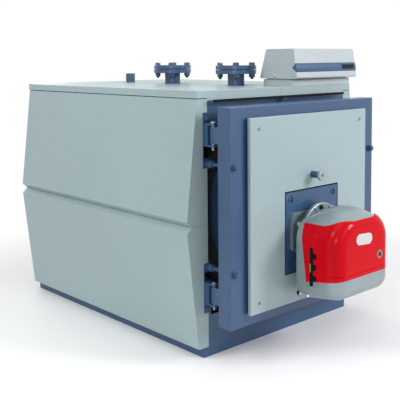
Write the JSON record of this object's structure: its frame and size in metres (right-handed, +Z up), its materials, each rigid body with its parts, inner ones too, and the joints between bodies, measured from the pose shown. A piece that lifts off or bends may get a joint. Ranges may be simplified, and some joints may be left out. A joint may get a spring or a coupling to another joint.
{
  "type": "industrial hot water boiler",
  "caption": "Floor-standing steel fire-tube boiler with a light sheet casing, blue frame, hinged furnace door, red blown burner, flanged water pipes and a control panel.",
  "frame": {"origin": "on the floor, under the middle of the whole boiler's box", "axes": "+Z up, -Y towards the door and the burner, +Y towards the flue, +X to the right as seen from the front"},
  "size_m": [1.0796, 1.824, 1.236],
  "materials": {
    "black_rubber": "matt",
    "blue_steel": "satin",
    "boiler_steel": "dull",
    "burner_casting": "cast, satin",
    "dark_wool": "matt",
    "light_casing": "satin",
    "panel_housing": "satin",
    "red_hood": "gloss",
    "refractory": "matt",
    "sight_glass": "clear",
    "zinc": "zinc plated"
  },
  "bodies": {
    "boiler": {"base_rail_left": "blue_steel", "base_rail_right": "blue_steel", "clamp_bosses": "blue_steel", "control_housing": "panel_housing", "control_strip": "blue_steel", "cover_rail_left": "black_rubber", "cover_rail_right": "black_rubber", "drain_pipe": "blue_steel", "drum_shell": "blue_steel", "flange_gaskets": "black_rubber", "flue_spigot": "blue_steel", "front_plate": "blue_steel", "front_tube_plate": "boiler_steel", "furnace": "boiler_steel", "hinge_bracket_lower": "blue_steel", "hinge_bracket_upper": "blue_steel", "hinge_pins": "zinc", "insulation_jacket": "dark_wool", "panel_riser": "panel_housing", "rear_beam": "blue_steel", "rear_panel": "light_casing", "rear_post_left": "blue_steel", "rear_post_right": "blue_steel", "rear_tube_plate": "boiler_steel", "return_blind_flange": "blue_steel", "return_flange": "blue_steel", "saddle_front": "blue_steel", "saddle_rear": "blue_steel", "side_panel_lower_left": "light_casing", "side_panel_lower_right": "light_casing", "side_panel_upper_left": "light_casing", "side_panel_upper_right": "light_casing", "smoke_box": "boiler_steel", "smoke_tubes": "boiler_steel", "supply_blind_flange": "blue_steel", "supply_flange": "blue_steel", "top_cover_left": "light_casing", "top_cover_right": "light_casing", "vent_socket": "blue_steel"},
    "door": {"blast_tube": "boiler_steel", "burner_body": "burner_casting", "burner_controls": "black_rubber", "burner_flange": "burner_casting", "burner_hood": "red_hood", "burner_mount": "burner_casting", "burner_plate": "blue_steel", "casing_studs": "zinc", "clamp_bolts": "blue_steel", "diffuser": "boiler_steel", "door_casing": "light_casing", "door_frame": "blue_steel", "door_insulation": "refractory", "door_plug": "refractory", "door_seal": "refractory", "hinge_arms": "blue_steel", "sight_glass": "sight_glass", "sight_tube": "blue_steel"}
  },
  "joints": [
    {"name": "door_hinge", "type": "hinge", "parent": "boiler", "child": "door", "pos_m": [-0.44, -0.519, 0.584], "axis": [0, 0, -1], "range_deg": [0, 100]}
  ]
}
